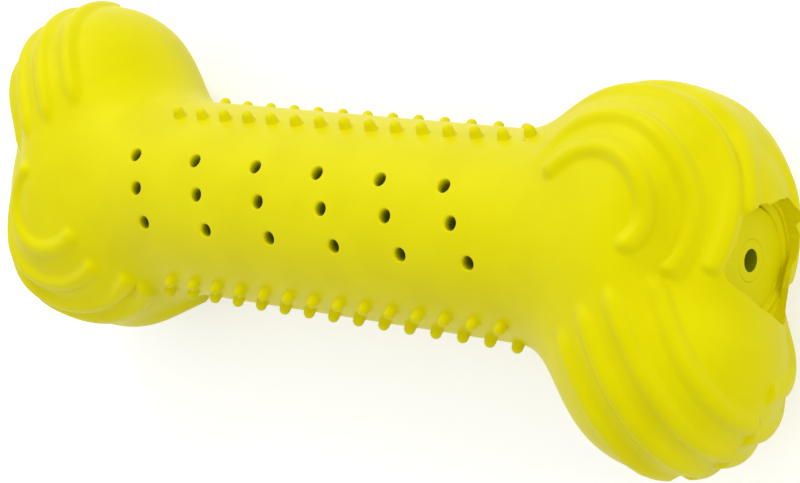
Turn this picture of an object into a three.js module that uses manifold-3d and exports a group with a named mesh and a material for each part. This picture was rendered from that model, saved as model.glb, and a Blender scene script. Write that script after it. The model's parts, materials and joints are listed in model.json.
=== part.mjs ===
// Hollow rubber dog bone: two moulded half shells, a push-in end plug and its vent bush.
// Millimetres, +Z up. The bone lies on its back half, +X points to the plugged end.
import * as THREE from 'three';
import { mergeVertices } from 'three/addons/utils/BufferGeometryUtils.js';
import Module from 'manifold-3d';

// Bone body
const bone_length = 177;
const bone_width = 71.3;
const wall = 4.5;
const shaft_half_width = 18.45;
const shaft_half_depth = 19.2;
const shaft_lean = 0.5;
const shaft_overlap = 1.3;
const shaft_blend = 8.7;
const knob_blend = 16.4;

// Big knob: lower at the plugged end, upper at the other end
const big_knob_radii = [19.2, 18.35, 19];

// Small knob: across from the big one and set back from it
const small_knob_radii = [19.1, 15.85, 17];
const small_knob_offset = 11.3;
const small_knob_setback = 5.3;

// Boss between the knobs that carries the socket
const boss_radius = 12.5;
const boss_setback = 4.9;
const boss_edge_radius = 4;
const boss_blend = 5;

// Ribs: straight and parallel on the big knob, rings about one centre on the small knob
const rib_radius = 1.5;
const rib_height = 0.95;
const rib_dive = 2.2;
const rib_seam_clearance = 1.2;
const straight_rib_angle = -60;
const straight_rib_pitch = 5.95;
const straight_rib_first = -7.15;
const straight_rib_starts = [6.4, 8.3, 8.7, 8.3];
const back_rib_shift = 4.2;
const ring_rib_radii = [8.75, 15.4, 19.9];
const ring_rib_from = [160, 145, 115];
const ring_rib_to = [-48, -38, -24];
const ring_rib_tail = 2.2;
const ring_tail_from = 70;
const ring_tail_span = 90;
const ring_centre_setback = 1.8;
const ring_centre_drop = 5.3;

// Nubs: three rows on each edge of the shaft, by angle from the edge and shift along the shaft
const nub_count = 15;
const nub_pitch = 6;
const upper_row_angles = [28.5, -11, -28.5];
const upper_row_shifts = [0.7, -5.5, 0.7];
const lower_row_angles = [28.5, 13, -28.5];
const lower_row_shifts = [-0.5, 0, -0.5];
const nub_root_radius = 1.25;
const nub_shoulder_radius = 0.9;
const nub_height = 2.1;
const nub_shoulder_height = 1.4;
const nub_root_depth = 1.2;

// Holes: three slanted rows on each face
const hole_radius = 1.28;
const hole_columns = 6;
const hole_pitch = 14.9;
const hole_row_spacing = 5.9;
const hole_row_slant = 2.85;
const hole_shift = -0.6;

// Plug and socket
const plug_face_setback = 6.5;
const plug_face_radius = 8.65;
const plug_end_radius = 7.7;
const plug_length = 13;
const plug_edge = 0.5;
const plug_clearance = 0.3;
const socket_wall = 3.2;
const socket_ledge_width = 2;
const socket_ledge_thickness = 3;
const socket_rim_drop = 0.3;
const pocket_radius = 9.9;

// Vent bush in the plug face
const vent_radius = 1.95;
const bush_radius = 3.25;
const bush_length = 5;
const bush_clearance = 0.2;

// Rest flats under the bone
const rest_flat_depth = 0.4;

// Facets and rings of the skins; reaches are measured back from the small knob's centre
const flank_reach = 24;
const fan_reach = 2;
const shaft_rings = 8;
const flank_rings = 8;
const end_rings = 9;
const hollow_rings = 5;
const around = 30;
const hollow_around = 16;
const turned_facets = 24;
const hole_facets = 8;
const nub_facets = 5;
const rib_facets = 5;
const rib_step = 6.6;
const rib_samples = 4;
const march_step = 0.5;
const march_halvings = 30;
const slope_step = 0.05;
const weld_gap = 1e-4;

const half_length = bone_length / 2;
const big_knob_x = half_length - big_knob_radii[0];
const big_knob_offset = bone_width / 2 - big_knob_radii[1];
const small_knob_x = big_knob_x - small_knob_setback;
const boss_end = half_length - boss_setback;
const shaft_end = small_knob_x + shaft_overlap;
const shaft_slope = Math.tan(THREE.MathUtils.degToRad(shaft_lean));
const plug_face = half_length - plug_face_setback;
const plug_end = plug_face - plug_length;

const rubber = new THREE.MeshStandardMaterial({ color: 0xe6dc22, roughness: 0.45, metalness: 0 });
const plug_rubber = new THREE.MeshStandardMaterial({ color: 0xcdc703, roughness: 0.5, metalness: 0 });

// Distance-like field of an ellipsoid
function ellipsoid(x, y, z, centre_x, centre_y, radii) {
  const q = [(x - centre_x) / radii[0], (y - centre_y) / radii[1], z / radii[2]];
  const near = Math.hypot(...q);
  const slope = Math.hypot(q[0] / radii[0], q[1] / radii[1], q[2] / radii[2]);
  return slope > 0 ? near * (near - 1) / slope : -Math.min(...radii);
}

// Smooth union of two fields
function blend(a, b, width) {
  const h = THREE.MathUtils.clamp(0.5 + 0.5 * (b - a) / width, 0, 1);
  return b * (1 - h) + a * h - width * h * (1 - h);
}

// Field of the whole bone: zero on the skin, negative inside. A half turn about Z maps it onto itself.
function bone(px, py, pz) {
  const turn = px < 0 ? -1 : 1;
  const x = px * turn;
  const y = py * turn;
  const big = ellipsoid(x, y, pz, big_knob_x, -big_knob_offset, big_knob_radii);
  const small = ellipsoid(x, y, pz, small_knob_x, small_knob_offset, small_knob_radii);
  const section = ellipsoid(0, y + shaft_slope * x, pz, 0, 0, [1, shaft_half_width, shaft_half_depth]);
  const shaft = Math.max(section, x - shaft_end);
  const reach = Math.hypot(y, pz) - boss_radius + boss_edge_radius;
  const ahead = x - boss_end + boss_edge_radius;
  const boss = Math.min(Math.max(reach, ahead), 0)
    + Math.hypot(Math.max(reach, 0), Math.max(ahead, 0)) - boss_edge_radius;
  return blend(blend(blend(big, small, knob_blend), shaft, shaft_blend), boss, boss_blend);
}

// First point on a ray from inside where the field reaches a level
function cast(origin, direction, level) {
  const at = (t) => bone(
    origin.x + direction.x * t, origin.y + direction.y * t, origin.z + direction.z * t) - level;
  let high = march_step;
  while (at(high) < 0) high += march_step;
  let low = high - march_step;
  for (let i = 0; i < march_halvings; i += 1) {
    const middle = (low + high) / 2;
    if (at(middle) < 0) low = middle;
    else high = middle;
  }
  return origin.clone().addScaledVector(direction, high);
}

// Closed skin at a level of the field: rings cast from the axis, fanned out over both ends.
// The rings start half a facet off the seam plane, so that the seam parts facets and meets no corner.
function skin(level, sides, along_shaft, along_flank, over_end) {
  const flank = small_knob_x - flank_reach;
  const fan = small_knob_x - fan_reach;
  const stations = [];
  for (let i = over_end - 1; i > 0; i -= 1) stations.push([fan, (90 * i) / over_end]);
  for (let i = 0; i < along_flank; i += 1) stations.push([fan + ((flank - fan) * i) / along_flank, 0]);
  const half = stations.map(([x, tilt]) => [x, tilt]);
  for (let i = 0; i <= along_shaft; i += 1) stations.push([flank - (2 * flank * i) / along_shaft, 0]);
  half.reverse().forEach(([x, tilt]) => stations.push([-x, -tilt]));
  const points = [];
  stations.forEach(([x, tilt]) => {
    const lean = THREE.MathUtils.degToRad(tilt);
    for (let j = 0; j < sides; j += 1) {
      const turn = (2 * Math.PI * (j + 0.5)) / sides;
      const direction = new THREE.Vector3(
        Math.sin(lean), Math.cos(lean) * Math.cos(turn), Math.cos(lean) * Math.sin(turn));
      points.push(cast(new THREE.Vector3(x, 0, 0), direction, level));
    }
  });
  const index = [];
  for (let i = 0; i + 1 < stations.length; i += 1) {
    for (let j = 0; j < sides; j += 1) {
      const a = i * sides + j;
      const b = i * sides + ((j + 1) % sides);
      index.push(a, a + sides, b, b, a + sides, b + sides);
    }
  }
  const first = points.length;
  points.push(cast(new THREE.Vector3(fan, 0, 0), new THREE.Vector3(1, 0, 0), level));
  points.push(cast(new THREE.Vector3(-fan, 0, 0), new THREE.Vector3(-1, 0, 0), level));
  const last = (stations.length - 1) * sides;
  for (let j = 0; j < sides; j += 1) {
    const next = (j + 1) % sides;
    index.push(first, j, next);
    index.push(first + 1, last + next, last + j);
  }
  const geometry = new THREE.BufferGeometry().setFromPoints(points);
  geometry.setIndex(index);
  return geometry;
}

const wasm = await Module();
wasm.setup();

function solid(geometry) {
  const bare = geometry.clone();
  bare.deleteAttribute('normal');
  bare.deleteAttribute('uv');
  const merged = mergeVertices(bare, weld_gap);
  return new wasm.Manifold(new wasm.Mesh({
    numProp: 3,
    vertProperties: Float32Array.from(merged.attributes.position.array),
    triVerts: Uint32Array.from(merged.index.array),
  }));
}

function toGeometry(manifold) {
  const mesh = manifold.getMesh();
  const geometry = new THREE.BufferGeometry();
  geometry.setAttribute('position', new THREE.BufferAttribute(mesh.vertProperties, 3));
  geometry.setIndex(new THREE.BufferAttribute(mesh.triVerts, 1));
  return geometry;
}

// Turned solid about the X axis from [x, radius] points
function turned(profile, facets = turned_facets) {
  const points = profile.map(([x, radius]) => new THREE.Vector2(radius, x));
  return new THREE.LatheGeometry(points, facets).rotateZ(-Math.PI / 2);
}

function block(low, high) {
  const size = new THREE.Vector3().subVectors(high, low);
  const middle = new THREE.Vector3().addVectors(low, high).multiplyScalar(0.5);
  return new THREE.BoxGeometry(size.x, size.y, size.z).translate(middle.x, middle.y, middle.z);
}

// Height of the front skin over a point of the seam plane, or null outside the outline
function skinHeight(x, y) {
  if (bone(x, y, 0) >= 0) return null;
  return cast(new THREE.Vector3(x, y, 0), new THREE.Vector3(0, 0, 1), 0).z;
}

// Points of one rib: on the skin where it is above the seam, sunk at both ends
function ribPoints(plan) {
  const shown = plan.map(([x, y]) => {
    const z = skinHeight(x, y);
    return z !== null && z > rib_seam_clearance ? new THREE.Vector3(x, y, z) : null;
  }).filter((point) => point !== null);
  const step = slope_step;
  return shown.map((point, i) => {
    const slope = new THREE.Vector3(
      bone(point.x + step, point.y, point.z) - bone(point.x - step, point.y, point.z),
      bone(point.x, point.y + step, point.z) - bone(point.x, point.y - step, point.z),
      bone(point.x, point.y, point.z + step) - bone(point.x, point.y, point.z - step)).normalize();
    const end = i === 0 || i === shown.length - 1;
    const lift = rib_height - rib_radius - (end ? rib_dive : 0);
    return point.clone().addScaledVector(slope, lift);
  });
}

function rib(plan) {
  const path = new THREE.CatmullRomCurve3(ribPoints(plan));
  const steps = Math.round(path.getLength() / rib_step);
  const corners = [];
  for (let i = 0; i < rib_facets; i += 1) {
    const turn = (2 * Math.PI * i) / rib_facets;
    corners.push(new THREE.Vector2(rib_radius * Math.cos(turn), rib_radius * Math.sin(turn)));
  }
  const section = new THREE.Shape(corners);
  return new THREE.ExtrudeGeometry(section, { steps, bevelEnabled: false, extrudePath: path });
}

// Straight ribs of the big knob, in the plan of the front half
function straightRibs(shift) {
  const lean = THREE.MathUtils.degToRad(straight_rib_angle);
  const along = [Math.cos(lean), Math.sin(lean)];
  return straight_rib_starts.map((start, i) => {
    const across = straight_rib_first + straight_rib_pitch * i + shift;
    const plan = [];
    for (let t = -start; t < 2 * big_knob_radii[1]; t += rib_step / rib_samples) {
      plan.push([
        big_knob_x + along[0] * t - along[1] * across,
        -big_knob_offset + along[1] * t + along[0] * across]);
    }
    return plan;
  });
}

// Ring ribs of the small knob, in the plan of the front half; they widen a little towards their start
function ringRibs() {
  return ring_rib_radii.map((radius, i) => {
    const plan = [];
    const step = THREE.MathUtils.radToDeg(rib_step / rib_samples / radius);
    for (let turn = ring_rib_from[i]; turn >= ring_rib_to[i]; turn -= step) {
      const angle = THREE.MathUtils.degToRad(turn);
      const reach = radius + (ring_rib_tail * Math.max(turn - ring_tail_from, 0)) / ring_tail_span;
      plan.push([
        small_knob_x - ring_centre_setback + reach * Math.cos(angle),
        small_knob_offset - ring_centre_drop + reach * Math.sin(angle)]);
    }
    return plan;
  });
}

// One nub standing on the skin, pointing along +Y before it is placed
const nub_profile = [
  [0, -nub_root_depth],
  [nub_root_radius, -nub_root_depth],
  [nub_root_radius, 0],
  [nub_shoulder_radius, nub_shoulder_height],
  [0, nub_height]].map(([radius, height]) => new THREE.Vector2(radius, height));

function nub(x, angle) {
  const lean = THREE.MathUtils.degToRad(angle);
  const direction = new THREE.Vector3(0, Math.cos(lean), Math.sin(lean));
  const root = cast(new THREE.Vector3(x, 0, 0), direction, 0);
  const turn = new THREE.Quaternion().setFromUnitVectors(new THREE.Vector3(0, 1, 0), direction);
  return new THREE.LatheGeometry(nub_profile, nub_facets)
    .applyQuaternion(turn).translate(root.x, root.y, root.z);
}

// One hole through the front wall, square to the skin
function hole(column, row) {
  const x = (column - (hole_columns - 1) / 2) * hole_pitch - row * hole_row_slant + hole_shift;
  const lean = Math.asin((row * hole_row_spacing) / shaft_half_depth);
  return new THREE.CylinderGeometry(hole_radius, hole_radius, shaft_half_depth, hole_facets)
    .rotateX(Math.PI / 2).translate(0, 0, shaft_half_depth).rotateX(-lean).translate(x, 0, 0);
}

// Copies a front geometry to the back half
function mirrored(geometry) {
  const copy = geometry.index ? geometry.toNonIndexed() : geometry.clone();
  copy.scale(1, 1, -1);
  const position = copy.attributes.position;
  for (let i = 0; i < position.count; i += 3) {
    const keep = [position.getX(i), position.getY(i), position.getZ(i)];
    position.setXYZ(i, position.getX(i + 1), position.getY(i + 1), position.getZ(i + 1));
    position.setXYZ(i + 1, ...keep);
  }
  return copy;
}

const outer = skin(0, around, shaft_rings, flank_rings, end_rings);
outer.computeBoundingBox();
const rest_height = outer.boundingBox.max.z - rest_flat_depth;
let shell = solid(outer);

// Ribs on both knobs of both ends, front and back
const front_ribs = [...straightRibs(0), ...ringRibs()].map(rib);
const back_ribs = [...straightRibs(back_rib_shift), ...ringRibs()].map(rib).map(mirrored);
for (const geometry of [...front_ribs, ...back_ribs]) {
  shell = shell.add(solid(geometry)).add(solid(geometry.clone().rotateZ(Math.PI)));
}

// Nub rows on the upper and the lower edge
const nub_rows = [
  ...upper_row_angles.map((angle, i) => [angle, upper_row_shifts[i]]),
  ...lower_row_angles.map((angle, i) => [180 - angle, lower_row_shifts[i]])];
for (const [angle, shift] of nub_rows) {
  for (let i = 0; i < nub_count; i += 1) {
    shell = shell.add(solid(nub((i - (nub_count - 1) / 2) * nub_pitch + shift, angle)));
  }
}

// Hollow, socket and pocket
const socket_radius = plug_face_radius + plug_clearance + socket_wall;
const ledge_radius = plug_end_radius + plug_clearance - socket_ledge_width;
const ledge_back = plug_end - socket_ledge_thickness;
const rim = plug_face - socket_rim_drop;
const collar = solid(turned([
  [ledge_back, 0], [ledge_back, socket_radius], [half_length, socket_radius], [half_length, 0]]));
const taper = (plug_face_radius - plug_end_radius) / plug_length;
const mouth_radius = plug_face_radius - taper * socket_rim_drop + plug_clearance;
const socket = solid(turned([
  [ledge_back - wall, 0],
  [ledge_back - wall, ledge_radius],
  [plug_end, ledge_radius],
  [plug_end, plug_end_radius + plug_clearance],
  [rim, mouth_radius],
  [rim, pocket_radius],
  [half_length, pocket_radius],
  [half_length, 0]]));
const hollow = solid(skin(-wall, hollow_around, hollow_rings, hollow_rings, hollow_rings));
shell = shell.subtract(hollow.subtract(collar)).subtract(socket);

// Holes through both faces
for (let column = 0; column < hole_columns; column += 1) {
  for (const row of [-1, 0, 1]) {
    const geometry = hole(column, row);
    shell = shell.subtract(solid(geometry)).subtract(solid(mirrored(geometry)));
  }
}

// The two mouldings, parted on the seam plane, with the rest flats cut under the back one
const front_space = solid(block(
  new THREE.Vector3(-bone_length, -bone_length, 0),
  new THREE.Vector3(bone_length, bone_length, bone_length)));
const back_space = solid(block(
  new THREE.Vector3(-bone_length, -bone_length, -rest_height),
  new THREE.Vector3(bone_length, bone_length, 0)));
const front_shell = shell.intersect(front_space);
const back_shell = shell.intersect(back_space);

// Tapered bung with a stepped vent for the bush
const plug = turned([
  [plug_end, vent_radius],
  [plug_end, plug_end_radius],
  [plug_face - plug_edge, plug_face_radius - taper * plug_edge],
  [plug_face, plug_face_radius - plug_edge],
  [plug_face, bush_radius + bush_clearance],
  [plug_face - bush_length, bush_radius + bush_clearance],
  [plug_face - bush_length, vent_radius],
  [plug_end, vent_radius]]);
const bush = turned([
  [plug_face - bush_length, vent_radius],
  [plug_face - bush_length, bush_radius],
  [plug_face, bush_radius],
  [plug_face, vent_radius],
  [plug_face - bush_length, vent_radius]]);

function piece(name, geometry, material) {
  const mesh = new THREE.Mesh(geometry, material);
  mesh.name = name;
  return mesh;
}

const toy = new THREE.Group();
toy.position.z = rest_height;
toy.add(piece('front_half_shell', toGeometry(front_shell), rubber));
toy.add(piece('back_half_shell', toGeometry(back_shell), rubber));
toy.add(piece('end_plug', plug, plug_rubber));
toy.add(piece('vent_bush', bush, plug_rubber));

export default toy;
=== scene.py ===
"""Yellow rubber dog bone with ribbed knobs, nub rows, holes and a vented end plug."""
import json
import math

import bmesh
import bpy
import numpy as np
from bpy.props import (FloatProperty, FloatVectorProperty, IntProperty, IntVectorProperty,
                       PointerProperty)
from mathutils import Matrix, Vector


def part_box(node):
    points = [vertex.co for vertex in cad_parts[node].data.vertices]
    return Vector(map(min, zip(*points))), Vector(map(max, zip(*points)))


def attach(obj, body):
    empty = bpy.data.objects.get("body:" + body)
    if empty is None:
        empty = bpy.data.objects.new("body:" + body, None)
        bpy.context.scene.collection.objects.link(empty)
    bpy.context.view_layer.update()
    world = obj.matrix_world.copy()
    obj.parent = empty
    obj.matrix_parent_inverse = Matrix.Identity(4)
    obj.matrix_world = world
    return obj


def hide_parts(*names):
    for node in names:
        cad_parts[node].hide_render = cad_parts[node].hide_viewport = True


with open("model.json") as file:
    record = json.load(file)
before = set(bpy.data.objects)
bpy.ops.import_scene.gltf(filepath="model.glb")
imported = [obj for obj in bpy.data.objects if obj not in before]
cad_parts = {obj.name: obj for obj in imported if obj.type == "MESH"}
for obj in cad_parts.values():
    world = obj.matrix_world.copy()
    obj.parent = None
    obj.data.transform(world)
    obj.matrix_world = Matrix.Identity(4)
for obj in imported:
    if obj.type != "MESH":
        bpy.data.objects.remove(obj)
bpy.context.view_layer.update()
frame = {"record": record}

bl_info = {
    "name": "Rubber dog bone",
    "version": (1, 0, 0),
    "blender": (4, 5, 0),
    "location": "View3D > Sidebar > Dog bone",
    "description": "Builds a hollow rubber dog bone round its frame",
    "category": "Object",
}

MM = 0.001
SEAM_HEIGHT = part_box("front_half_shell")[0][2]
PLUG_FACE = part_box("end_plug")[1][0]
PLUG_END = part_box("end_plug")[0][0]
PHOTO_WIDTH = 800
MERGE_DISTANCE = 1e-7
BUSH_EDGE = 0.08 * MM


def length(name, description, millimetres):
    """A length property, written in millimetres and kept in metres."""
    return FloatProperty(name=name, description=description, default=millimetres * MM, unit="LENGTH",
                         precision=5)


def lengths(name, description, millimetres):
    """Several lengths in one property."""
    return FloatVectorProperty(name=name, description=description, size=len(millimetres), unit="LENGTH",
                               default=[value * MM for value in millimetres], precision=5)


def degrees(name, description, values):
    """Several angles in one property."""
    return FloatVectorProperty(name=name, description=description, size=len(values), unit="ROTATION",
                               default=[math.radians(value) for value in values])


def colour(name, description, code):
    """A colour property from an sRGB hex code."""
    return FloatVectorProperty(name=name, description=description, subtype="COLOR", size=3,
                               default=linear(code))


def linear(code):
    """Turns an sRGB hex code into linear red, green and blue."""
    channels = [int(code[i:i + 2], 16) / 255 for i in (1, 3, 5)]
    return [c / 12.92 if c <= 0.04045 else ((c + 0.055) / 1.055) ** 2.4 for c in channels]


class BodySizes(bpy.types.PropertyGroup):
    """Sizes of the hollow body."""

    bone_length: length("Length", "End to end over the big knobs", 177.08)
    wall: length("Wall", "Rubber thickness", 4.5)
    shaft_half_width: length("Shaft half width", "Across the nubbed edges", 18.16)
    shaft_half_depth: length("Shaft half depth", "Through the holed faces", 19.2)
    shaft_lean: degrees("Shaft lean", "Shaft against the line through the knobs", (0.28,))
    shaft_overlap: length("Shaft overlap", "Shaft past the small knob's centre", 2.68)
    shaft_blend: length("Shaft blend", "Width of the blend from shaft to knobs", 12.3)
    shaft_end_blend: length("Shaft end blend", "Rounding of the shaft's end inside the knobs", 6.0)
    knob_blend: length("Knob blend", "Width of the blend between the knobs", 14.3)
    boss_radius: length("Boss radius", "Round end between the knobs", 12.5)
    boss_flat: FloatProperty(name="Boss flat", description="Depth of the boss as a share of its width",
                             default=0.86, subtype="FACTOR")
    boss_setback: length("Boss setback", "From the tip of the big knob", 4.94)
    boss_edge: length("Boss edge", "Edge radius of the boss", 4.0)
    boss_blend: length("Boss blend", "Width of the blend from boss to knobs", 5.0)
    seam_bevel: length("Seam bevel", "Edge break along the parting line", 0.13)


class KnobSizes(bpy.types.PropertyGroup):
    """Sizes of the knobs."""

    big_radii: lengths("Big knob", "Radii along, across and through", (18.6, 18.0, 18.3))
    big_offset: length("Big knob offset", "From the bone's axis", 17.75)
    small_radii: lengths("Small knob", "Radii along, across and through", (19.8, 13.7, 15.9))
    small_offset: length("Small knob offset", "From the bone's axis", 11.17)
    small_setback: length("Small knob setback", "Behind the big knob", 3.64)
    small_turn: degrees("Small knob turn", "Of its long axis in plan", (-20.4,))
    small_rise: length("Small knob rise", "Of both small knobs towards the upper edge", 0.8)


class RibSizes(bpy.types.PropertyGroup):
    """Sizes of the moulded ribs."""

    straight_height: length("Straight height", "Crest of a straight rib above the skin", 1.15)
    inner_width: length("Inner width", "Crest to foot, towards the bone's middle", 2.0)
    outer_width: length("Outer width", "Crest to foot, away from the bone's middle", 2.45)
    seam_share: FloatProperty(name="Seam share", description="Part of a rib's height left at the seam",
                              default=0.8, subtype="FACTOR")
    seam_reach: length("Seam reach", "Over which ribs fade towards the seam", 8.0)
    straight_origin: lengths("Straight origin", "Middle of the straight ribs in plan", (69.3, -17.3))
    straight_angle: degrees("Straight angle", "Direction of the straight ribs in plan", (-60.0,))
    straight_pitch: length("Straight pitch", "Between straight ribs", 5.95)
    straight_first: length("First straight rib", "Across from the middle", -7.15)
    straight_starts: lengths("Straight starts", "Start of each rib, before the middle",
                             (2.9, 4.3, 4.6, 4.8))
    straight_taper: length("Straight taper", "Over which a straight rib runs out at its start", 5.0)
    near_centre: lengths("Near ring centre", "Of the plugged end's ring ribs in plan", (63.3, 4.9))
    near_radii: lengths("Near ring radii", "Ring ribs of the plugged end", (9.4, 15.1, 20.0, 21.7))
    near_tails: lengths("Near ring tails", "Growth of each ring's radius towards its start",
                        (1.1, 0.6, 2.4, 3.0))
    near_heights: lengths("Near ring heights", "Crest of each ring rib above the skin",
                          (1.35, 1.25, 1.05, 1.0))
    near_from: degrees("Near ring start", "Where each ring rib starts", (150, 165, 150, 130))
    near_fade: degrees("Near ring fade", "Over which the outer three ring ribs grow", (60, 55, 50))
    near_to: degrees("Near ring end", "Where each ring rib ends", (-32, -31, -19, 8))
    far_centre: lengths("Far ring centre", "Of the closed end's ring ribs in plan", (62.7, 5.3))
    far_radii: lengths("Far ring radii", "Ring ribs of the closed end", (8.2, 14.4, 17.9, 19.7))
    far_tails: lengths("Far ring tails", "Growth of each ring's radius towards its start",
                       (0.4, 0.3, 2.4, 3.0))
    far_heights: lengths("Far ring heights", "Crest of each ring rib above the skin",
                         (1.15, 1.25, 1.6, 1.6))
    far_from: degrees("Far ring start", "Where each ring rib starts", (141, 133, 143, 144))
    far_to: degrees("Far ring end", "Where each ring rib ends", (-48, -10, 30, 60))
    back_shift: length("Back shift", "Offset of the straight ribs on the back half", 4.2)


class NubSizes(bpy.types.PropertyGroup):
    """Sizes of the chewing nubs."""

    count: IntProperty(name="Count", description="Nubs in a row", default=15, min=1)
    upper_skips: IntVectorProperty(name="Upper skips", description="Nubs left out at the closed end",
                                   size=3, default=(0, 1, 0))
    upper_angles: degrees("Upper rows", "Angles from the upper edge of the shaft", (37.1, -15.6, -33))
    upper_skews: degrees("Upper skews", "Turn of the upper rows from nub to nub", (-0.46, 0.1, 0))
    upper_pitches: lengths("Upper pitches", "Between nubs of the upper rows", (5.75, 6.14, 6.0))
    upper_shifts: lengths("Upper shifts", "Upper rows along the shaft", (3.43, -6.31, 0.7))
    lower_skips: IntVectorProperty(name="Lower skips", description="Nubs left out at the closed end",
                                   size=3, default=(1, 0, 0))
    lower_angles: degrees("Lower rows", "Angles from the lower edge of the shaft", (32.8, 17.4, -33))
    lower_skews: degrees("Lower skews", "Turn of the lower rows from nub to nub", (0.23, -0.18, 0))
    lower_pitches: lengths("Lower pitches", "Between nubs of the lower rows", (6.05, 5.86, 6.0))
    lower_shifts: lengths("Lower shifts", "Lower rows along the shaft", (0.61, 1.8, -0.5))
    radius: length("Radius", "Above the fillet", 1.13)
    tip_radius: length("Tip radius", "Of the rounded tip", 1.0)
    height: length("Height", "Above the skin", 2.0)
    fillet: length("Fillet", "At the root", 0.25)


class HoleSizes(bpy.types.PropertyGroup):
    """Sizes of the holes through the faces."""

    radius: length("Radius", "Of a hole", 1.2)
    rim: length("Rim", "Rounding of a hole's edge", 0.45)
    columns: IntProperty(name="Columns", description="Holes in a row", default=6, min=1)
    angles: degrees("Rows", "Angles of the rows from the upper edge", (71.7, 90.5, 109.3))
    pitches: lengths("Pitches", "Between holes of each row", (14.73, 14.93, 15.29))
    shifts: lengths("Shifts", "Each row along the shaft", (-3.02, -0.25, 2.72))
    drift: length("Drift", "Of a hole, by the square of its count from the row's middle", -0.175)


class PlugSizes(bpy.types.PropertyGroup):
    """Sizes of the end plug, its bush and its socket."""

    face_radius: length("Face radius", "Of the plug", 8.65)
    end_radius: length("End radius", "Of the plug's inner end", 7.7)
    edge: length("Edge", "Rounding of the plug's face", 0.5)
    clearance: length("Clearance", "Between plug and socket", 0.3)
    socket_wall: length("Socket wall", "Round the plug", 3.2)
    ledge_width: length("Ledge width", "That the plug sits on", 2.0)
    ledge_thickness: length("Ledge thickness", "That the plug sits on", 3.0)
    rim_drop: length("Rim drop", "Socket rim behind the plug's face", 0.3)
    pocket_radius: length("Pocket radius", "Round the plug's face", 10.1)
    pocket_depth: length("Pocket depth", "Under the torn lip", 0.9)
    lip_radius: length("Lip radius", "Of the torn opening, on average", 9.5)
    vent_radius: length("Vent radius", "Through plug and bush", 1.85)
    bush_radius: length("Bush radius", "Outside of the vent bush", 3.41)
    bush_length: length("Bush length", "Of the vent bush", 5.0)
    bush_clearance: length("Bush clearance", "Between bush and plug", 0.03)


class FinishColours(bpy.types.PropertyGroup):
    """Colours of the rubber and the stage."""

    rubber: colour("Rubber", "Moulded natural rubber", "#EBE204")
    rubber_deep: colour("Deep rubber", "Slight mottling of the rubber", "#E6DC02")
    plug: colour("Plug", "Rubber of the plug", "#E8E000")
    # Painted shade: a dark olive put where the rubber lies deep in the holes, inside the shell and down
    # the vent, in place of the shade there.
    hollow: colour("Hollow", "Rubber deep in the holes, out of the light", "#868E00")
    floor: colour("Floor", "Pale floor", "#D4D4D4")


class StageSettings(bpy.types.PropertyGroup):
    """Camera of the photograph, fitted to nubs, holes, plug rim and outline, and the level of light."""

    focal_px: FloatProperty(name="Focal length", description="In photo pixels", default=2439.6)
    azimuth: FloatProperty(name="Azimuth", description="From the holed face towards the plug",
                           default=math.radians(40.286), unit="ROTATION")
    elevation: FloatProperty(name="Elevation", description="Towards the upper edge",
                             default=math.radians(-1.035), unit="ROTATION")
    roll: FloatProperty(name="Roll", description="About the view line", default=math.radians(7.74),
                        unit="ROTATION")
    distance: length("Distance", "From the bone's middle", 436.63)
    aside: lengths("Aside", "Camera moved right and up in its own plane", (6.933, -4.476))
    surround: FloatProperty(name="Surround", description="Level of the light from all sides", default=0.72)
    floor_lift: FloatProperty(name="Floor lift", description="Keeps the floor white in the picture",
                              default=0.55)


# Form of the bone


def ellipsoid(points, centre, radii):
    """Distance-like field of an ellipsoid."""
    least_slope = 1e-9
    scaled = (points - centre) / radii
    near = np.linalg.norm(scaled, axis=1)
    slope = np.linalg.norm(scaled / radii, axis=1)
    return near * (near - 1) / np.maximum(slope, least_slope)


def blend(first, second, width):
    """Smooth union of two fields."""
    share = np.clip(0.5 + 0.5 * (second - first) / width, 0, 1)
    return second * (1 - share) + first * share - width * share * (1 - share)


def spun(points, angle):
    """Points seen from a frame that is turned about the vertical."""
    ahead = points[:, 0] * math.cos(angle) + points[:, 1] * math.sin(angle)
    aside = points[:, 1] * math.cos(angle) - points[:, 0] * math.sin(angle)
    return np.stack([ahead, aside, points[:, 2]], axis=1)


def end_sign(points):
    """1 on the plugged half of the length and -1 on the closed one."""
    return np.where(points[:, :1] < 0, -1.0, 1.0)


def half_turned(vectors, sign):
    """Brings the closed end onto the plugged one: a half turn about the vertical maps one on the other."""
    return np.hstack([vectors[:, :2] * sign, vectors[:, 2:]])


def knob_centres(scene):
    """Centres of the big and the small knob of the plugged end, from the middle of the seam plane."""
    knob = scene.bone_knobs
    big_x = scene.bone_body.bone_length / 2 - knob.big_radii[0]
    big = np.array([big_x, -knob.big_offset, 0])
    small = np.array([big_x - knob.small_setback, knob.small_offset, 0])
    return big, small


def bone_field(scene, points):
    """Zero on the skin, negative inside, measured from the middle of the seam plane."""
    body = scene.bone_body
    knob = scene.bone_knobs
    sign = end_sign(points)
    near = half_turned(points, sign)
    big_centre, small_centre = knob_centres(scene)
    big = ellipsoid(near, big_centre, np.array(knob.big_radii))
    rise = sign * knob.small_rise * np.array([0, 1, 0])
    from_small = spun(near - small_centre - rise, knob.small_turn[0])
    small = ellipsoid(from_small, np.zeros(3), np.array(knob.small_radii))
    across = near[:, 1:]
    leaned = across + np.outer(near[:, 0], [math.tan(body.shaft_lean[0]), 0])
    shaft = ellipsoid(leaned, np.zeros(2), np.array([body.shaft_half_width, body.shaft_half_depth]))
    cap = near[:, 0] - small_centre[0] - body.shaft_overlap
    shaft = -blend(-shaft, -cap, body.shaft_end_blend)
    reach = np.hypot(across[:, 0], across[:, 1] / body.boss_flat) - body.boss_radius + body.boss_edge
    ahead = near[:, 0] - body.bone_length / 2 + body.boss_setback + body.boss_edge
    boss = np.minimum(np.maximum(reach, ahead), 0)
    boss = boss + np.hypot(np.maximum(reach, 0), np.maximum(ahead, 0)) - body.boss_edge
    knobs = blend(big, small, body.knob_blend)
    return blend(blend(knobs, shaft, body.shaft_blend), boss, body.boss_blend)


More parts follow.
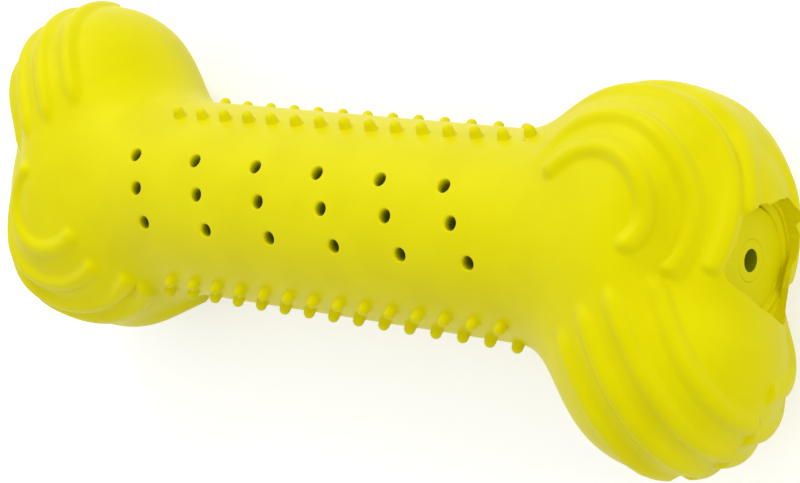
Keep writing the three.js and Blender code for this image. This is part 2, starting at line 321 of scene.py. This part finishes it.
def cast(scene, origins, directions, level):
    """Points where rays from inside reach a level of the field, found by halving."""
    farthest = 60 * MM
    halvings = 34
    low = np.zeros(len(origins))
    high = np.full(len(origins), farthest)
    for _ in range(halvings):
        middle = (low + high) / 2
        inside = bone_field(scene, origins + directions * middle[:, None]) < level
        low = np.where(inside, middle, low)
        high = np.where(inside, high, middle)
    return origins + directions * high[:, None]


def outward(scene, points):
    """Unit normals of the field."""
    step = 0.02 * MM
    slopes = []
    for axis in np.eye(3):
        slopes.append(bone_field(scene, points + axis * step) - bone_field(scene, points - axis * step))
    normals = np.stack(slopes, axis=1)
    return normals / np.linalg.norm(normals, axis=1, keepdims=True)


def smooth(values):
    """Soft step from 0 to 1."""
    share = np.clip(values, 0, 1)
    return share * share * (3 - 2 * share)


def along_skin(offsets, directions, normals):
    """Turns an offset in plan into a distance along the sloping skin."""
    steepest = 0.3
    lean = np.sum(directions * normals, axis=1, keepdims=True)
    slope = np.linalg.norm(directions - lean * normals, axis=1)
    return offsets / np.maximum(slope, steepest)


def rib_wave(ribs, gap, past):
    """Cross-section of a rib: steeper towards the bone's middle, run out past its ends."""
    fullness = 1.5
    width = np.where(gap < 0, ribs.inner_width, ribs.outer_width)
    away = np.hypot(gap / width, past)
    return 0.5 + 0.5 * np.cos(math.pi * np.minimum(away, 1) ** fullness)


def straight_relief(ribs, near, facing):
    """Height of the straight ribs on the big knob."""
    lean = ribs.straight_angle[0]
    offset = near[:, :2] - np.array(ribs.straight_origin)
    along = offset @ np.array([math.cos(lean), math.sin(lean)])
    sideways = np.array([-math.sin(lean), math.cos(lean)])
    across = offset @ sideways - np.where(near[:, 2] < 0, ribs.back_shift, 0.0)
    direction = np.tile(np.append(sideways, 0), (len(near), 1))
    relief = np.zeros(len(near))
    for i, start in enumerate(ribs.straight_starts):
        gap = along_skin(across - ribs.straight_first - ribs.straight_pitch * i, direction, facing)
        past = np.maximum(-start - along, 0)
        wave = rib_wave(ribs, gap, past / ribs.straight_taper)
        relief = np.maximum(relief, ribs.straight_height * wave)
    return relief


def ring_relief(ribs, near, facing, plugged):
    """Height of the ring ribs round the small knob, each with its own reach at either end."""
    least_radius = 0.001 * MM
    tail_start = math.radians(90)
    tail_span = math.radians(60)
    tail_curve = 1.5
    centre = np.where(plugged[:, None], np.array(ribs.near_centre), np.array(ribs.far_centre))
    spoke = near[:, :2] - centre
    radius = np.maximum(np.linalg.norm(spoke, axis=1), least_radius)
    angle = np.arctan2(spoke[:, 1], spoke[:, 0])
    direction = np.hstack([spoke / radius[:, None], np.zeros((len(near), 1))])
    growth = np.maximum((angle - tail_start) / tail_span, 0) ** tail_curve
    relief = np.zeros(len(near))
    for i in range(len(ribs.near_radii)):
        ring = np.where(plugged, ribs.near_radii[i], ribs.far_radii[i])
        ring = ring + growth * np.where(plugged, ribs.near_tails[i], ribs.far_tails[i])
        start = np.where(plugged, ribs.near_from[i], ribs.far_from[i])
        end = np.where(plugged, ribs.near_to[i], ribs.far_to[i])
        gap = along_skin(radius - ring, direction, facing)
        past = np.maximum(np.maximum(angle - start, end - angle), 0) * radius
        grown = smooth((ribs.near_from[i] - angle) / ribs.near_fade[i - 1]) if i > 0 else 1.0
        height = np.where(plugged, ribs.near_heights[i] * grown, ribs.far_heights[i])
        relief = np.maximum(relief, height * rib_wave(ribs, gap, past / ribs.inner_width))
    return relief


def rib_relief(scene, points, normals):
    """Height of the ribs over the skin: straight on the big knob, in rings round the small one."""
    ribs = scene.bone_ribs
    sign = end_sign(points)
    near = half_turned(points, sign)
    facing = half_turned(normals, sign)
    relief = np.maximum(straight_relief(ribs, near, facing),
                        ring_relief(ribs, near, facing, points[:, 0] > 0))
    shown = ribs.seam_share + (1 - ribs.seam_share) * smooth(np.abs(points[:, 2]) / ribs.seam_reach)
    return relief * shown


# Mesh helpers


def finished(bm, name):
    """Writes a bmesh, in place in the row frame, to a new mesh."""
    bmesh.ops.recalc_face_normals(bm, faces=bm.faces)
    mesh = bpy.data.meshes.new(name)
    bm.to_mesh(mesh)
    bm.free()
    return mesh


def vertex_places(mesh):
    """Vertices of a mesh, one row each."""
    places = np.empty(len(mesh.vertices) * 3)
    mesh.vertices.foreach_get("co", places)
    return places.reshape(-1, 3)


def quarter_turn(count):
    """Evenly spread angles from 0 to a right angle."""
    return [math.pi / 2 * i / (count - 1) for i in range(count)]


def skin(scene, name, level, segments, rings, ribbed):
    """Closed skin at a level of the field: a sphere whose points are cast out from the bone's axis."""
    fan_setback = 2 * MM
    fan_share = 0.22
    bm = bmesh.new()
    bmesh.ops.create_uvsphere(bm, u_segments=segments, v_segments=rings, radius=1)
    bmesh.ops.rotate(bm, verts=bm.verts, cent=(0, 0, 0), matrix=Matrix.Rotation(math.pi / 2, 3, "Y"))
    mesh = finished(bm, name)
    places = vertex_places(mesh)
    polar = np.arccos(np.clip(places[:, 0], -1, 1)) / math.pi
    turn = np.arctan2(places[:, 2], places[:, 1])
    fan_x = knob_centres(scene)[1][0] - fan_setback
    to_end = np.minimum(polar, 1 - polar)
    side = np.where(polar < 0.5, 1.0, -1.0)
    tilt = np.maximum(1 - to_end / fan_share, 0) * math.pi / 2
    station = fan_x * np.clip((0.5 - to_end) / (0.5 - fan_share), 0, 1)
    origins = np.stack([station * side, np.zeros(len(polar)), np.zeros(len(polar))], axis=1)
    directions = np.stack(
        [np.sin(tilt) * side, np.cos(tilt) * np.cos(turn), np.cos(tilt) * np.sin(turn)], axis=1)
    points = cast(scene, origins, directions, level)
    if ribbed:
        normals = outward(scene, points)
        points = points + normals * rib_relief(scene, points, normals)[:, None]
    points[:, 2] += SEAM_HEIGHT
    mesh.vertices.foreach_set("co", points.ravel())
    mesh.update()
    return mesh


def turned(profile, name, steps=96):
    """Solid turned about the bone's axis from (x, radius) points."""
    bm = bmesh.new()
    verts = [bm.verts.new((x, radius, 0)) for x, radius in profile]
    edges = [bm.edges.new(pair) for pair in zip(verts, verts[1:])]
    bmesh.ops.spin(bm, geom=verts + edges, cent=(0, 0, 0), axis=(1, 0, 0), angle=2 * math.pi, steps=steps,
                   use_merge=True)
    bmesh.ops.remove_doubles(bm, verts=bm.verts, dist=MERGE_DISTANCE)
    bmesh.ops.translate(bm, verts=bm.verts, vec=(0, 0, SEAM_HEIGHT))
    return finished(bm, name)


def placed_copies(template, places, name):
    """Copies of one mesh at several places, in one mesh."""
    bm = bmesh.new()
    for place in places:
        before = len(bm.verts)
        bm.from_mesh(template)
        bm.verts.ensure_lookup_table()
        bmesh.ops.transform(bm, matrix=place, verts=bm.verts[before:])
    return finished(bm, name)


def box_mesh(low, high, name):
    """Box between two corners."""
    bm = bmesh.new()
    bmesh.ops.create_cube(bm, size=1)
    middle = (Vector(low) + Vector(high)) / 2
    bmesh.ops.scale(bm, verts=bm.verts, vec=Vector(high) - Vector(low))
    bmesh.ops.translate(bm, verts=bm.verts, vec=middle)
    return finished(bm, name)


def combined(mesh, other, operation):
    """Joins, cuts or intersects two closed meshes."""
    first = bpy.data.objects.new("first", mesh)
    second = bpy.data.objects.new("second", other)
    for obj in (first, second):
        bpy.context.scene.collection.objects.link(obj)
    modifier = first.modifiers.new("combine", "BOOLEAN")
    modifier.operation = operation
    modifier.object = second
    modifier.solver = "MANIFOLD"
    graph = bpy.context.evaluated_depsgraph_get()
    result = bpy.data.meshes.new_from_object(first.evaluated_get(graph))
    if len(result.polygons) == 0:
        raise RuntimeError("nothing is left of " + mesh.name)
    for obj in (first, second):
        bpy.data.objects.remove(obj)
    return result


def piece(mesh, name, node, material, crease):
    """Shown object for one piece, smooth apart from edges sharper than the crease angle."""
    mesh.name = name
    mesh.materials.clear()
    mesh.materials.append(material)
    mesh.shade_smooth()
    mesh.set_sharp_from_angle(angle=math.radians(crease))
    obj = bpy.data.objects.new(name, mesh)
    bpy.context.scene.collection.objects.link(obj)
    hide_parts(node)
    bodies = frame["record"]["behaviour"]["bodies"]
    body = next(owner for owner, nodes in bodies.items() if node in nodes)
    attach(obj, body)
    return obj


# Cutters and nubs


def radial_place(scene, x, angle):
    """Place on the skin at a station and an angle from the upper edge, with local Z pointing outwards."""
    direction = np.array([[0, math.cos(angle), math.sin(angle)]])
    root = cast(scene, np.array([[x, 0.0, 0.0]]), direction, 0)[0]
    turn = Vector(direction[0]).to_track_quat("Z", "Y").to_matrix().to_4x4()
    return Matrix.Translation(Vector(root) + Vector((0, 0, SEAM_HEIGHT))) @ turn


def upright(profile, name, steps):
    """Small solid turned about local Z from (radius, height) points."""
    bm = bmesh.new()
    verts = [bm.verts.new((radius, 0, height)) for radius, height in profile]
    edges = [bm.edges.new(pair) for pair in zip(verts, verts[1:])]
    bmesh.ops.spin(bm, geom=verts + edges, cent=(0, 0, 0), axis=(0, 0, 1), angle=2 * math.pi, steps=steps,
                   use_merge=True)
    bmesh.ops.remove_doubles(bm, verts=bm.verts, dist=MERGE_DISTANCE)
    return finished(bm, name)


def nub_rows(scene):
    """All nubs of both edges."""
    nub = scene.bone_nubs
    buried = MM
    skirt = 0.1 * MM
    root = nub.radius + nub.fillet
    profile = [(0, -buried), (root + skirt, -buried), (root + skirt, -skirt)]
    for turn in quarter_turn(5):
        profile.append((root - nub.fillet * math.sin(turn), nub.fillet * (1 - math.cos(turn))))
    for turn in quarter_turn(8):
        profile.append((nub.tip_radius * math.cos(turn),
                        nub.height - nub.tip_radius * (1 - math.sin(turn))))
    profile[-1] = (0, nub.height)
    template = upright(profile, "nub", steps=18)
    upper = zip(nub.upper_angles, nub.upper_skews, nub.upper_pitches, nub.upper_shifts, nub.upper_skips)
    lower = zip(nub.lower_angles, nub.lower_skews, nub.lower_pitches, nub.lower_shifts, nub.lower_skips)
    rows = list(upper)
    rows += [(math.pi - angle, -skew, pitch, shift, skip) for angle, skew, pitch, shift, skip in lower]
    places = []
    for angle, skew, pitch, shift, skip in rows:
        for i in range(skip, nub.count):
            step = i - (nub.count - 1) / 2
            places.append(radial_place(scene, step * pitch + shift, angle + step * skew))
    return placed_copies(template, places, "nubs")


def hole_cutters(scene):
    """All holes of both faces, with rounded rims."""
    hole = scene.bone_holes
    depth = scene.bone_body.wall * 2
    rim_widths = 1.6
    flare = hole.radius + hole.rim * rim_widths
    flare_start = 0.35 * MM
    top = 2 * MM
    profile = [(0, -depth), (hole.radius, -depth)]
    for turn in quarter_turn(6):
        profile.append((hole.radius + hole.rim * (1 - math.cos(turn)), hole.rim * (math.sin(turn) - 1)))
    profile += [(flare, flare_start), (flare, top), (0, top)]
    template = upright(profile, "hole", steps=28)
    places = []
    for column in range(hole.columns):
        step = column - (hole.columns - 1) / 2
        for angle, pitch, shift in zip(hole.angles, hole.pitches, hole.shifts):
            x = step * pitch + shift + step * step * hole.drift
            for side in (1, -1):
                places.append(radial_place(scene, x, side * angle))
    return placed_copies(template, places, "holes")


def socket_cutter(scene):
    """Socket with its ledge and the pocket under the lip."""
    plug = scene.bone_plug
    lead_in = 0.3 * MM
    corner = 0.4 * MM
    lip_cover = 0.9 * MM
    end = plug.end_radius + plug.clearance
    mouth = plug.face_radius + plug.clearance
    ledge = end - plug.ledge_width
    back = PLUG_END - plug.ledge_thickness - scene.bone_body.wall
    rim = PLUG_FACE - plug.rim_drop
    pocket = PLUG_FACE + plug.pocket_depth
    return turned([
        (back, 0), (back, ledge), (PLUG_END, ledge), (PLUG_END, end),
        (rim - lead_in, mouth), (rim, mouth + lead_in),
        (rim, plug.pocket_radius - corner), (rim + corner, plug.pocket_radius),
        (pocket, plug.pocket_radius), (pocket + corner, plug.lip_radius - lip_cover),
        (pocket + corner, 0)], "socket")


def lip_cutter(scene):
    """Torn opening in front of the plug: a round cut whose edge wanders and is ragged on one side."""
    plug = scene.bone_plug
    cut_length = 20 * MM
    pocket_share = 0.6
    cut_start = PLUG_FACE + plug.pocket_depth * pocket_share
    ragged_side = -0.9
    # Waves round the edge: count, height in millimetres, start
    sweeps = ((1, 1.0, 2.2), (2, 0.3, -0.2), (3, 0.85, 2.85), (4, 0.6, -0.9), (6, 0.5, -3.0))
    tears = ((17, 0.1, 0.3), (31, 0.06, 2.6), (53, 0.04, 1.1))
    bm = bmesh.new()
    made = bmesh.ops.create_circle(bm, cap_ends=True, radius=plug.lip_radius, segments=420)
    bmesh.ops.rotate(bm, verts=bm.verts, cent=(0, 0, 0), matrix=Matrix.Rotation(math.pi / 2, 3, "Y"))
    for vert in made["verts"]:
        turn = math.atan2(vert.co.z, vert.co.y)
        sweep = sum(size * math.sin(count * turn + start) for count, size, start in sweeps)
        tear = sum(size * math.sin(count * turn + start) for count, size, start in tears)
        ragged = 0.5 + 0.5 * math.cos(turn - ragged_side)
        vert.co *= (plug.lip_radius + (sweep + tear * ragged) * MM) / plug.lip_radius
    bmesh.ops.translate(bm, verts=bm.verts, vec=(cut_start, 0, SEAM_HEIGHT))
    pulled = bmesh.ops.extrude_face_region(bm, geom=bm.faces[:])
    moved = [item for item in pulled["geom"] if isinstance(item, bmesh.types.BMVert)]
    bmesh.ops.translate(bm, verts=moved, vec=(cut_length, 0, 0))
    return finished(bm, "lip")


def whole_shell(scene):
    """Both halves as one hollow body, before the seam parts them."""
    plug = scene.bone_plug
    body = skin(scene, "bone", level=0, segments=320, rings=420, ribbed=True)
    body = combined(body, nub_rows(scene), "UNION")
    collar_radius = plug.face_radius + plug.clearance + plug.socket_wall
    collar_back = PLUG_END - plug.ledge_thickness
    collar_end = scene.bone_body.bone_length / 2
    collar = turned([(collar_back, 0), (collar_back, collar_radius), (collar_end, collar_radius),
                     (collar_end, 0)], "collar")
    hollow = skin(scene, "hollow", level=-scene.bone_body.wall, segments=96, rings=120, ribbed=False)
    body = combined(body, combined(hollow, collar, "DIFFERENCE"), "DIFFERENCE")
    body = combined(body, socket_cutter(scene), "DIFFERENCE")
    body = combined(body, lip_cutter(scene), "DIFFERENCE")
    return combined(body, hole_cutters(scene), "DIFFERENCE")


def seam_broken(scene, mesh):
    """Breaks the outer edge of a half where it meets the other one."""
    on_seam = 0.001 * MM
    level_normal = 0.99
    skin_depth = 1.5 * MM
    bm = bmesh.new()
    bm.from_mesh(mesh)
    rim = []
    for edge in bm.edges:
        level = all(abs(vert.co.z - SEAM_HEIGHT) < on_seam for vert in edge.verts)
        if level and len(edge.link_faces) == 2:
            flats = [abs(face.normal.z) > level_normal for face in edge.link_faces]
            middle = (edge.verts[0].co + edge.verts[1].co) / 2
            point = np.array([[middle.x, middle.y, 0.0]])
            outside = bone_field(scene, point)[0] > -skin_depth
            if flats.count(True) == 1 and outside:
                rim.append(edge)
    bmesh.ops.bevel(bm, geom=rim, offset=scene.bone_body.seam_bevel, offset_type="OFFSET", affect="EDGES",
                    segments=2, profile=0.5, material=-1, clamp_overlap=True)
    bm.to_mesh(mesh)
    bm.free()
    return mesh


# Materials


def add_node(tree, kind, inputs=None, **settings):
    """Adds a node, sets its properties and fills or links its inputs."""
    node = tree.nodes.new(kind)
    for key, value in settings.items():
        setattr(node, key, value)
    for key, value in (inputs or {}).items():
        if isinstance(value, bpy.types.NodeSocket):
            tree.links.new(value, node.inputs[key])
        else:
            node.inputs[key].default_value = value
    return node


def marked(mesh, depths):
    """Keeps a depth for each point, by which the rubber's colour takes on painted shade."""
    mesh.attributes.new("depth", "FLOAT", "POINT").data.foreach_set("value", depths)
    return mesh


def depth_marked(scene, mesh):
    """Marks how deep under the skin of the shaft each point lies, for the painted shade in the holes and
    inside the shell.
    """
    shaft_end = 55 * MM
    places = vertex_places(mesh) - np.array([0, 0, SEAM_HEIGHT])
    deep = np.maximum(-bone_field(scene, places), 0)
    return marked(mesh, np.where(np.abs(places[:, 0]) < shaft_end, deep, 0))


def bore_marked(scene, mesh):
    """Marks the vent's wall as deep all along, so that it takes the painted shade, and the rest as skin.
    """
    wall_depth = 3 * MM
    margin = 0.01 * MM
    places = vertex_places(mesh) - np.array([0, 0, SEAM_HEIGHT])
    wall = np.hypot(places[:, 1], places[:, 2]) < scene.bone_plug.vent_radius + margin
    return marked(mesh, np.where(wall, wall_depth, 0))


def noise(tree, place, size, detail, roughness):
    """Noise with features of one size."""
    inputs = {"Vector": place, "Scale": 1 / size, "Detail": detail, "Roughness": roughness}
    return add_node(tree, "ShaderNodeTexNoise", inputs).outputs["Fac"]


def ramp(tree, value, levels, ends=(0, 1)):
    """Maps a value between two levels onto two ends."""
    inputs = {"Value": value, "From Min": levels[0], "From Max": levels[1],
              "To Min": ends[0], "To Max": ends[1]}
    return add_node(tree, "ShaderNodeMapRange", inputs).outputs["Result"]


def mixed(tree, share, first, second):
    """Mixes a second colour into a first one."""
    inputs = {"Factor": share, "A": first, "B": second}
    return add_node(tree, "ShaderNodeMix", inputs, data_type="RGBA").outputs["Result"]


def rubber_colour(tree, place, shade, deep, hollow):
    """Faintly mottled colour with painted shade, which darkens it with the marked depth."""
    mottle_size = 9 * MM
    mottle_levels = (0.35, 0.7)
    shade_depths = (0.3 * MM, 1.8 * MM)
    mottle = noise(tree, place, mottle_size, detail=3, roughness=0.5)
    skin_colour = mixed(tree, ramp(tree, mottle, mottle_levels), (*shade, 1), (*deep, 1))
    # Painted shade: the colour turns to the hollow colour as the marked depth grows.
    depth = add_node(tree, "ShaderNodeAttribute", attribute_name="depth").outputs["Fac"]
    return mixed(tree, ramp(tree, depth, shade_depths), skin_colour, (*hollow, 1))


def rubber_bump(tree, place, grain):
    """Mould grain with a scatter of specks."""
    speck_size = 4.5 * MM
    speck_levels = (0.03, 0.09)
    speck_height = 1.5
    strength = 0.12
    relief = 0.1 * MM
    specks = add_node(tree, "ShaderNodeTexVoronoi", {"Vector": place, "Scale": 1 / speck_size})
    speck = ramp(tree, specks.outputs["Distance"], speck_levels, (1, 0))
    height = add_node(tree, "ShaderNodeMath", {0: speck, 1: speck_height, 2: grain},
                      operation="MULTIPLY_ADD").outputs["Value"]
    inputs = {"Height": height, "Strength": strength, "Distance": relief}
    return add_node(tree, "ShaderNodeBump", inputs).outputs["Normal"]


def natural_rubber(name, shade, deep, hollow, gloss):
    """Compression-moulded natural rubber: satin, mottled, with a fine mould grain, a yellow sheen and
    painted shade where a depth is marked.
    """
    grain_size = 0.55 * MM
    grain_roughness = (0.40, 0.54)
    refraction = 1.5
    sheen = (1.0, 0.97, 0.04, 1.0)
    material = bpy.data.materials.new(name)
    material.use_nodes = True
    tree = material.node_tree
    tree.nodes.clear()
    place = add_node(tree, "ShaderNodeTexCoord").outputs["Object"]
    grain = noise(tree, place, grain_size, detail=4, roughness=0.6)
    surface = add_node(tree, "ShaderNodeBsdfPrincipled", {
        "Base Color": rubber_colour(tree, place, shade, deep, hollow),
        "Roughness": ramp(tree, grain, (0, 1), grain_roughness),
        "Normal": rubber_bump(tree, place, grain),
        "IOR": refraction, "Specular IOR Level": gloss, "Specular Tint": sheen})
    add_node(tree, "ShaderNodeOutputMaterial", {"Surface": surface.outputs["BSDF"]})
    return material


def bung_rubber(scene, name):
    """Duller rubber of the plug and its bush."""
    colours = scene.bone_colours
    return natural_rubber(name, colours.plug, colours.plug, colours.hollow, gloss=0.15)


# Operators


class BONE_OT_half_shells(bpy.types.Operator):
    """Two moulded half shells, parted on the seam."""

    bl_idname = "bone.half_shells"
    bl_label = "Half shells"

    def execute(self, context):
        scene = context.scene
        colours = scene.bone_colours
        rubber = natural_rubber("natural_rubber", colours.rubber, colours.rubber_deep, colours.hollow,
                                gloss=0.42)
        body = whole_shell(scene)
        reach = scene.bone_body.bone_length
        spaces = {
            "front_half_shell": box_mesh((-reach, -reach, SEAM_HEIGHT), (reach, reach, reach), "front"),
            "back_half_shell": box_mesh((-reach, -reach, 0), (reach, reach, SEAM_HEIGHT), "back"),
        }
        for node, space in spaces.items():
            half = combined(body.copy(), space, "INTERSECT")
            half = depth_marked(scene, seam_broken(scene, half))
            piece(half, "moulded_" + node, node, rubber, crease=38)
        return {"FINISHED"}


class BONE_OT_end_plug(bpy.types.Operator):
    """Push-in plug with its stepped vent."""

    bl_idname = "bone.end_plug"
    bl_label = "End plug"

    def execute(self, context):
        scene = context.scene
        plug = scene.bone_plug
        seat = plug.bush_radius + plug.bush_clearance
        step = PLUG_FACE - plug.bush_length
        profile = [(PLUG_END, plug.vent_radius), (PLUG_END, plug.end_radius - plug.edge),
                   (PLUG_END + plug.edge, plug.end_radius)]
        for turn in quarter_turn(6):
            profile.append((PLUG_FACE - plug.edge * (1 - math.sin(turn)),
                            plug.face_radius - plug.edge * (1 - math.cos(turn))))
        profile += [(PLUG_FACE, seat + BUSH_EDGE), (PLUG_FACE - BUSH_EDGE, seat), (step, seat),
                    (step, plug.vent_radius), (PLUG_END, plug.vent_radius)]
        mesh = bore_marked(scene, turned(profile, "plug"))
        rubber = bung_rubber(scene, "plug_rubber")
        piece(mesh, "vented_plug", "end_plug", rubber, crease=35)
        return {"FINISHED"}


class BONE_OT_vent_bush(bpy.types.Operator):
    """Ring in the plug's face round the vent."""

    bl_idname = "bone.vent_bush"
    bl_label = "Vent bush"

    def execute(self, context):
        scene = context.scene
        plug = scene.bone_plug
        back = PLUG_FACE - plug.bush_length
        profile = [(back, plug.vent_radius), (back, plug.bush_radius)]
        for turn in quarter_turn(4):
            profile.append((PLUG_FACE - BUSH_EDGE * (1 - math.sin(turn)),
                            plug.bush_radius - BUSH_EDGE * (1 - math.cos(turn))))
        for turn in quarter_turn(4):
            profile.append((PLUG_FACE - BUSH_EDGE * (1 - math.cos(turn)),
                            plug.vent_radius + BUSH_EDGE * (1 - math.sin(turn))))
        profile.append((back, plug.vent_radius))
        mesh = bore_marked(scene, turned(profile, "bush"))
        rubber = bung_rubber(scene, "bush_rubber")
        piece(mesh, "vent_ring", "vent_bush", rubber, crease=35)
        return {"FINISHED"}


class BONE_OT_stage(bpy.types.Operator):
    """Pale floor, soft lights and the photograph's camera."""

    bl_idname = "bone.stage"
    bl_label = "Stage"

    def execute(self, context):
        scene = context.scene
        scene.view_settings.view_transform = "Standard"
        place_camera(scene)
        lay_floor(scene)
        hang_lights(scene)
        return {"FINISHED"}


def place_camera(scene):
    """Camera from the fitted angles: right and up axes rolled about the view line, then moved aside."""
    stage = scene.bone_stage
    back = Vector((math.sin(stage.azimuth) * math.cos(stage.elevation), math.sin(stage.elevation),
                   math.cos(stage.azimuth) * math.cos(stage.elevation)))
    level = Vector((0, 1, 0)).cross(back).normalized()
    upright_axis = back.cross(level)
    right = level * math.cos(stage.roll) + upright_axis * math.sin(stage.roll)
    up = upright_axis * math.cos(stage.roll) - level * math.sin(stage.roll)
    spot = back * stage.distance + right * stage.aside[0] + up * stage.aside[1]
    spot.z += SEAM_HEIGHT
    data = bpy.data.cameras.new("photo_camera")
    data.sensor_width = 36
    data.lens = stage.focal_px * data.sensor_width / PHOTO_WIDTH
    data.clip_start = 10 * MM
    camera = bpy.data.objects.new("photo_camera", data)
    turn = Matrix((right, up, back)).transposed().to_4x4()
    camera.matrix_world = Matrix.Translation(spot) @ turn
    scene.collection.objects.link(camera)
    scene.camera = camera


def background_rays(tree):
    """1 on the rays that show the background: from the camera, off gloss and through clear things."""
    path = add_node(tree, "ShaderNodeLightPath").outputs
    seen = add_node(tree, "ShaderNodeMath", {0: path["Is Camera Ray"], 1: path["Is Glossy Ray"]},
                    operation="MAXIMUM")
    seen = add_node(tree, "ShaderNodeMath", {0: seen.outputs["Value"], 1: path["Is Transmission Ray"]},
                    operation="MAXIMUM")
    return seen.outputs["Value"]


def lay_floor(scene):
    """Wide pale floor that the bone lies on."""
    floor_half_width = 4
    floor_roughness = 0.9
    bm = bmesh.new()
    bmesh.ops.create_grid(bm, x_segments=1, y_segments=1, size=floor_half_width)
    floor = bpy.data.objects.new("floor", finished(bm, "floor"))
    material = bpy.data.materials.new("pale_board")
    material.use_nodes = True
    tree = material.node_tree
    shader = tree.nodes["Principled BSDF"]
    shader.inputs["Base Color"].default_value = (*scene.bone_colours.floor, 1)
    shader.inputs["Roughness"].default_value = floor_roughness
    shader.inputs["Emission Color"].default_value = (1, 1, 1, 1)
    lift = add_node(tree, "ShaderNodeMath", {0: background_rays(tree), 1: scene.bone_stage.floor_lift},
                    operation="MULTIPLY")
    tree.links.new(lift.outputs["Value"], shader.inputs["Emission Strength"])
    floor.data.materials.append(material)
    scene.collection.objects.link(floor)


def hang_lights(scene):
    """Soft boxes round the bone and a pale surround."""
    box_size = 0.4
    aim = Vector((0, 0, SEAM_HEIGHT))
    # Name, place in metres and power in watts
    boxes = (
        ("upper_box", (-0.3, 0.7, 0.65), 2.9),
        ("plug_side_box", (0.85, 0.25, 0.35), 1.3),
    )
    for name, spot, power in boxes:
        data = bpy.data.lights.new(name, "AREA")
        data.size = box_size
        data.energy = power
        light = bpy.data.objects.new(name, data)
        light.location = spot
        light.rotation_euler = (aim - Vector(spot)).to_track_quat("-Z", "Y").to_euler()
        scene.collection.objects.link(light)
    world = bpy.data.worlds.new("pale_surround")
    world.use_nodes = True
    tree = world.node_tree
    surround = scene.bone_stage.surround
    level = add_node(tree, "ShaderNodeMath", {0: background_rays(tree), 1: 1 - surround, 2: surround},
                     operation="MULTIPLY_ADD")
    background = tree.nodes["Background"]
    background.inputs["Color"].default_value = (1, 1, 1, 1)
    tree.links.new(level.outputs["Value"], background.inputs["Strength"])
    scene.world = world


class BONE_PT_panel(bpy.types.Panel):
    """Lists the pieces of the bone."""

    bl_idname = "BONE_PT_panel"
    bl_label = "Dog bone"
    bl_space_type = "VIEW_3D"
    bl_region_type = "UI"
    bl_category = "Dog bone"

    def draw(self, context):
        for operator in OPERATORS:
            self.layout.operator(operator.bl_idname)


GROUPS = {
    "bone_body": BodySizes,
    "bone_knobs": KnobSizes,
    "bone_ribs": RibSizes,
    "bone_nubs": NubSizes,
    "bone_holes": HoleSizes,
    "bone_plug": PlugSizes,
    "bone_colours": FinishColours,
    "bone_stage": StageSettings,
}
OPERATORS = (BONE_OT_half_shells, BONE_OT_end_plug, BONE_OT_vent_bush, BONE_OT_stage)


def register():
    """Registers the classes and hangs the settings on the scene."""
    for name, group in GROUPS.items():
        bpy.utils.register_class(group)
        setattr(bpy.types.Scene, name, PointerProperty(type=group))
    for operator in OPERATORS:
        bpy.utils.register_class(operator)
    bpy.utils.register_class(BONE_PT_panel)


def unregister():
    """Takes the classes and settings away again."""
    bpy.utils.unregister_class(BONE_PT_panel)
    for operator in reversed(OPERATORS):
        bpy.utils.unregister_class(operator)
    for name, group in reversed(GROUPS.items()):
        delattr(bpy.types.Scene, name)
        bpy.utils.unregister_class(group)


def main():
    """Builds the bone."""
    register()
    bpy.ops.bone.half_shells()
    bpy.ops.bone.end_plug()
    bpy.ops.bone.vent_bush()
    bpy.ops.bone.stage()


if __name__ == "__main__":
    main()
